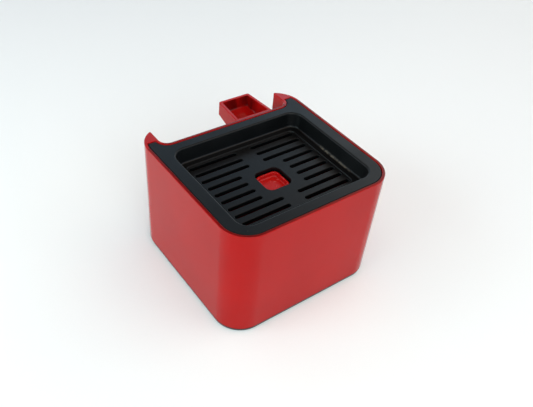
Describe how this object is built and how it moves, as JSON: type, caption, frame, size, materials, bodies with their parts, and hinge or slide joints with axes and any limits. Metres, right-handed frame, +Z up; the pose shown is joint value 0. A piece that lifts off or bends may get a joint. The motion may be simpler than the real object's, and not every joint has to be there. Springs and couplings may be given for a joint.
{
  "type": "coffee machine drip tray",
  "caption": "Deep red drip tray of a slim pod coffee machine, with a flush black slotted cup grid, a level float and a rear drain trough.",
  "frame": {"origin": "middle of the footprint's bounding box, on the surface that the feet stand on", "axes": "+Z up, -Y towards the front wall, +Y towards the rear wall and its drain trough, +X to the right seen from the front"},
  "size_m": [0.12, 0.1271, 0.0824],
  "materials": {
    "red_gloss": "gloss",
    "red_float": "satin",
    "black_satin": "fine satin",
    "dark_plastic": "matte",
    "rubber": "matte",
    "steel": "zinc plated"
  },
  "bodies": {
    "tray": {"shell": "red_gloss", "rear_trough": "red_gloss", "trough_seal": "rubber", "base_plate": "dark_plastic", "foot_1": "rubber", "foot_2": "rubber", "foot_3": "rubber", "foot_4": "rubber", "screw_1": "steel", "screw_2": "steel", "screw_3": "steel", "screw_4": "steel"},
    "cup_grid": {"cup_grid": "black_satin", "float_cage": "black_satin"},
    "level_float": {"level_float": "red_float"}
  },
  "joints": [
    {"name": "grid_lift", "type": "slide", "parent": "tray", "child": "cup_grid", "axis": [0, 0, 1], "range_m": [0, 0.05]},
    {"name": "float_rise", "type": "slide", "parent": "cup_grid", "child": "level_float", "axis": [0, 0, 1], "range_m": [0, 0.0065]}
  ]
}
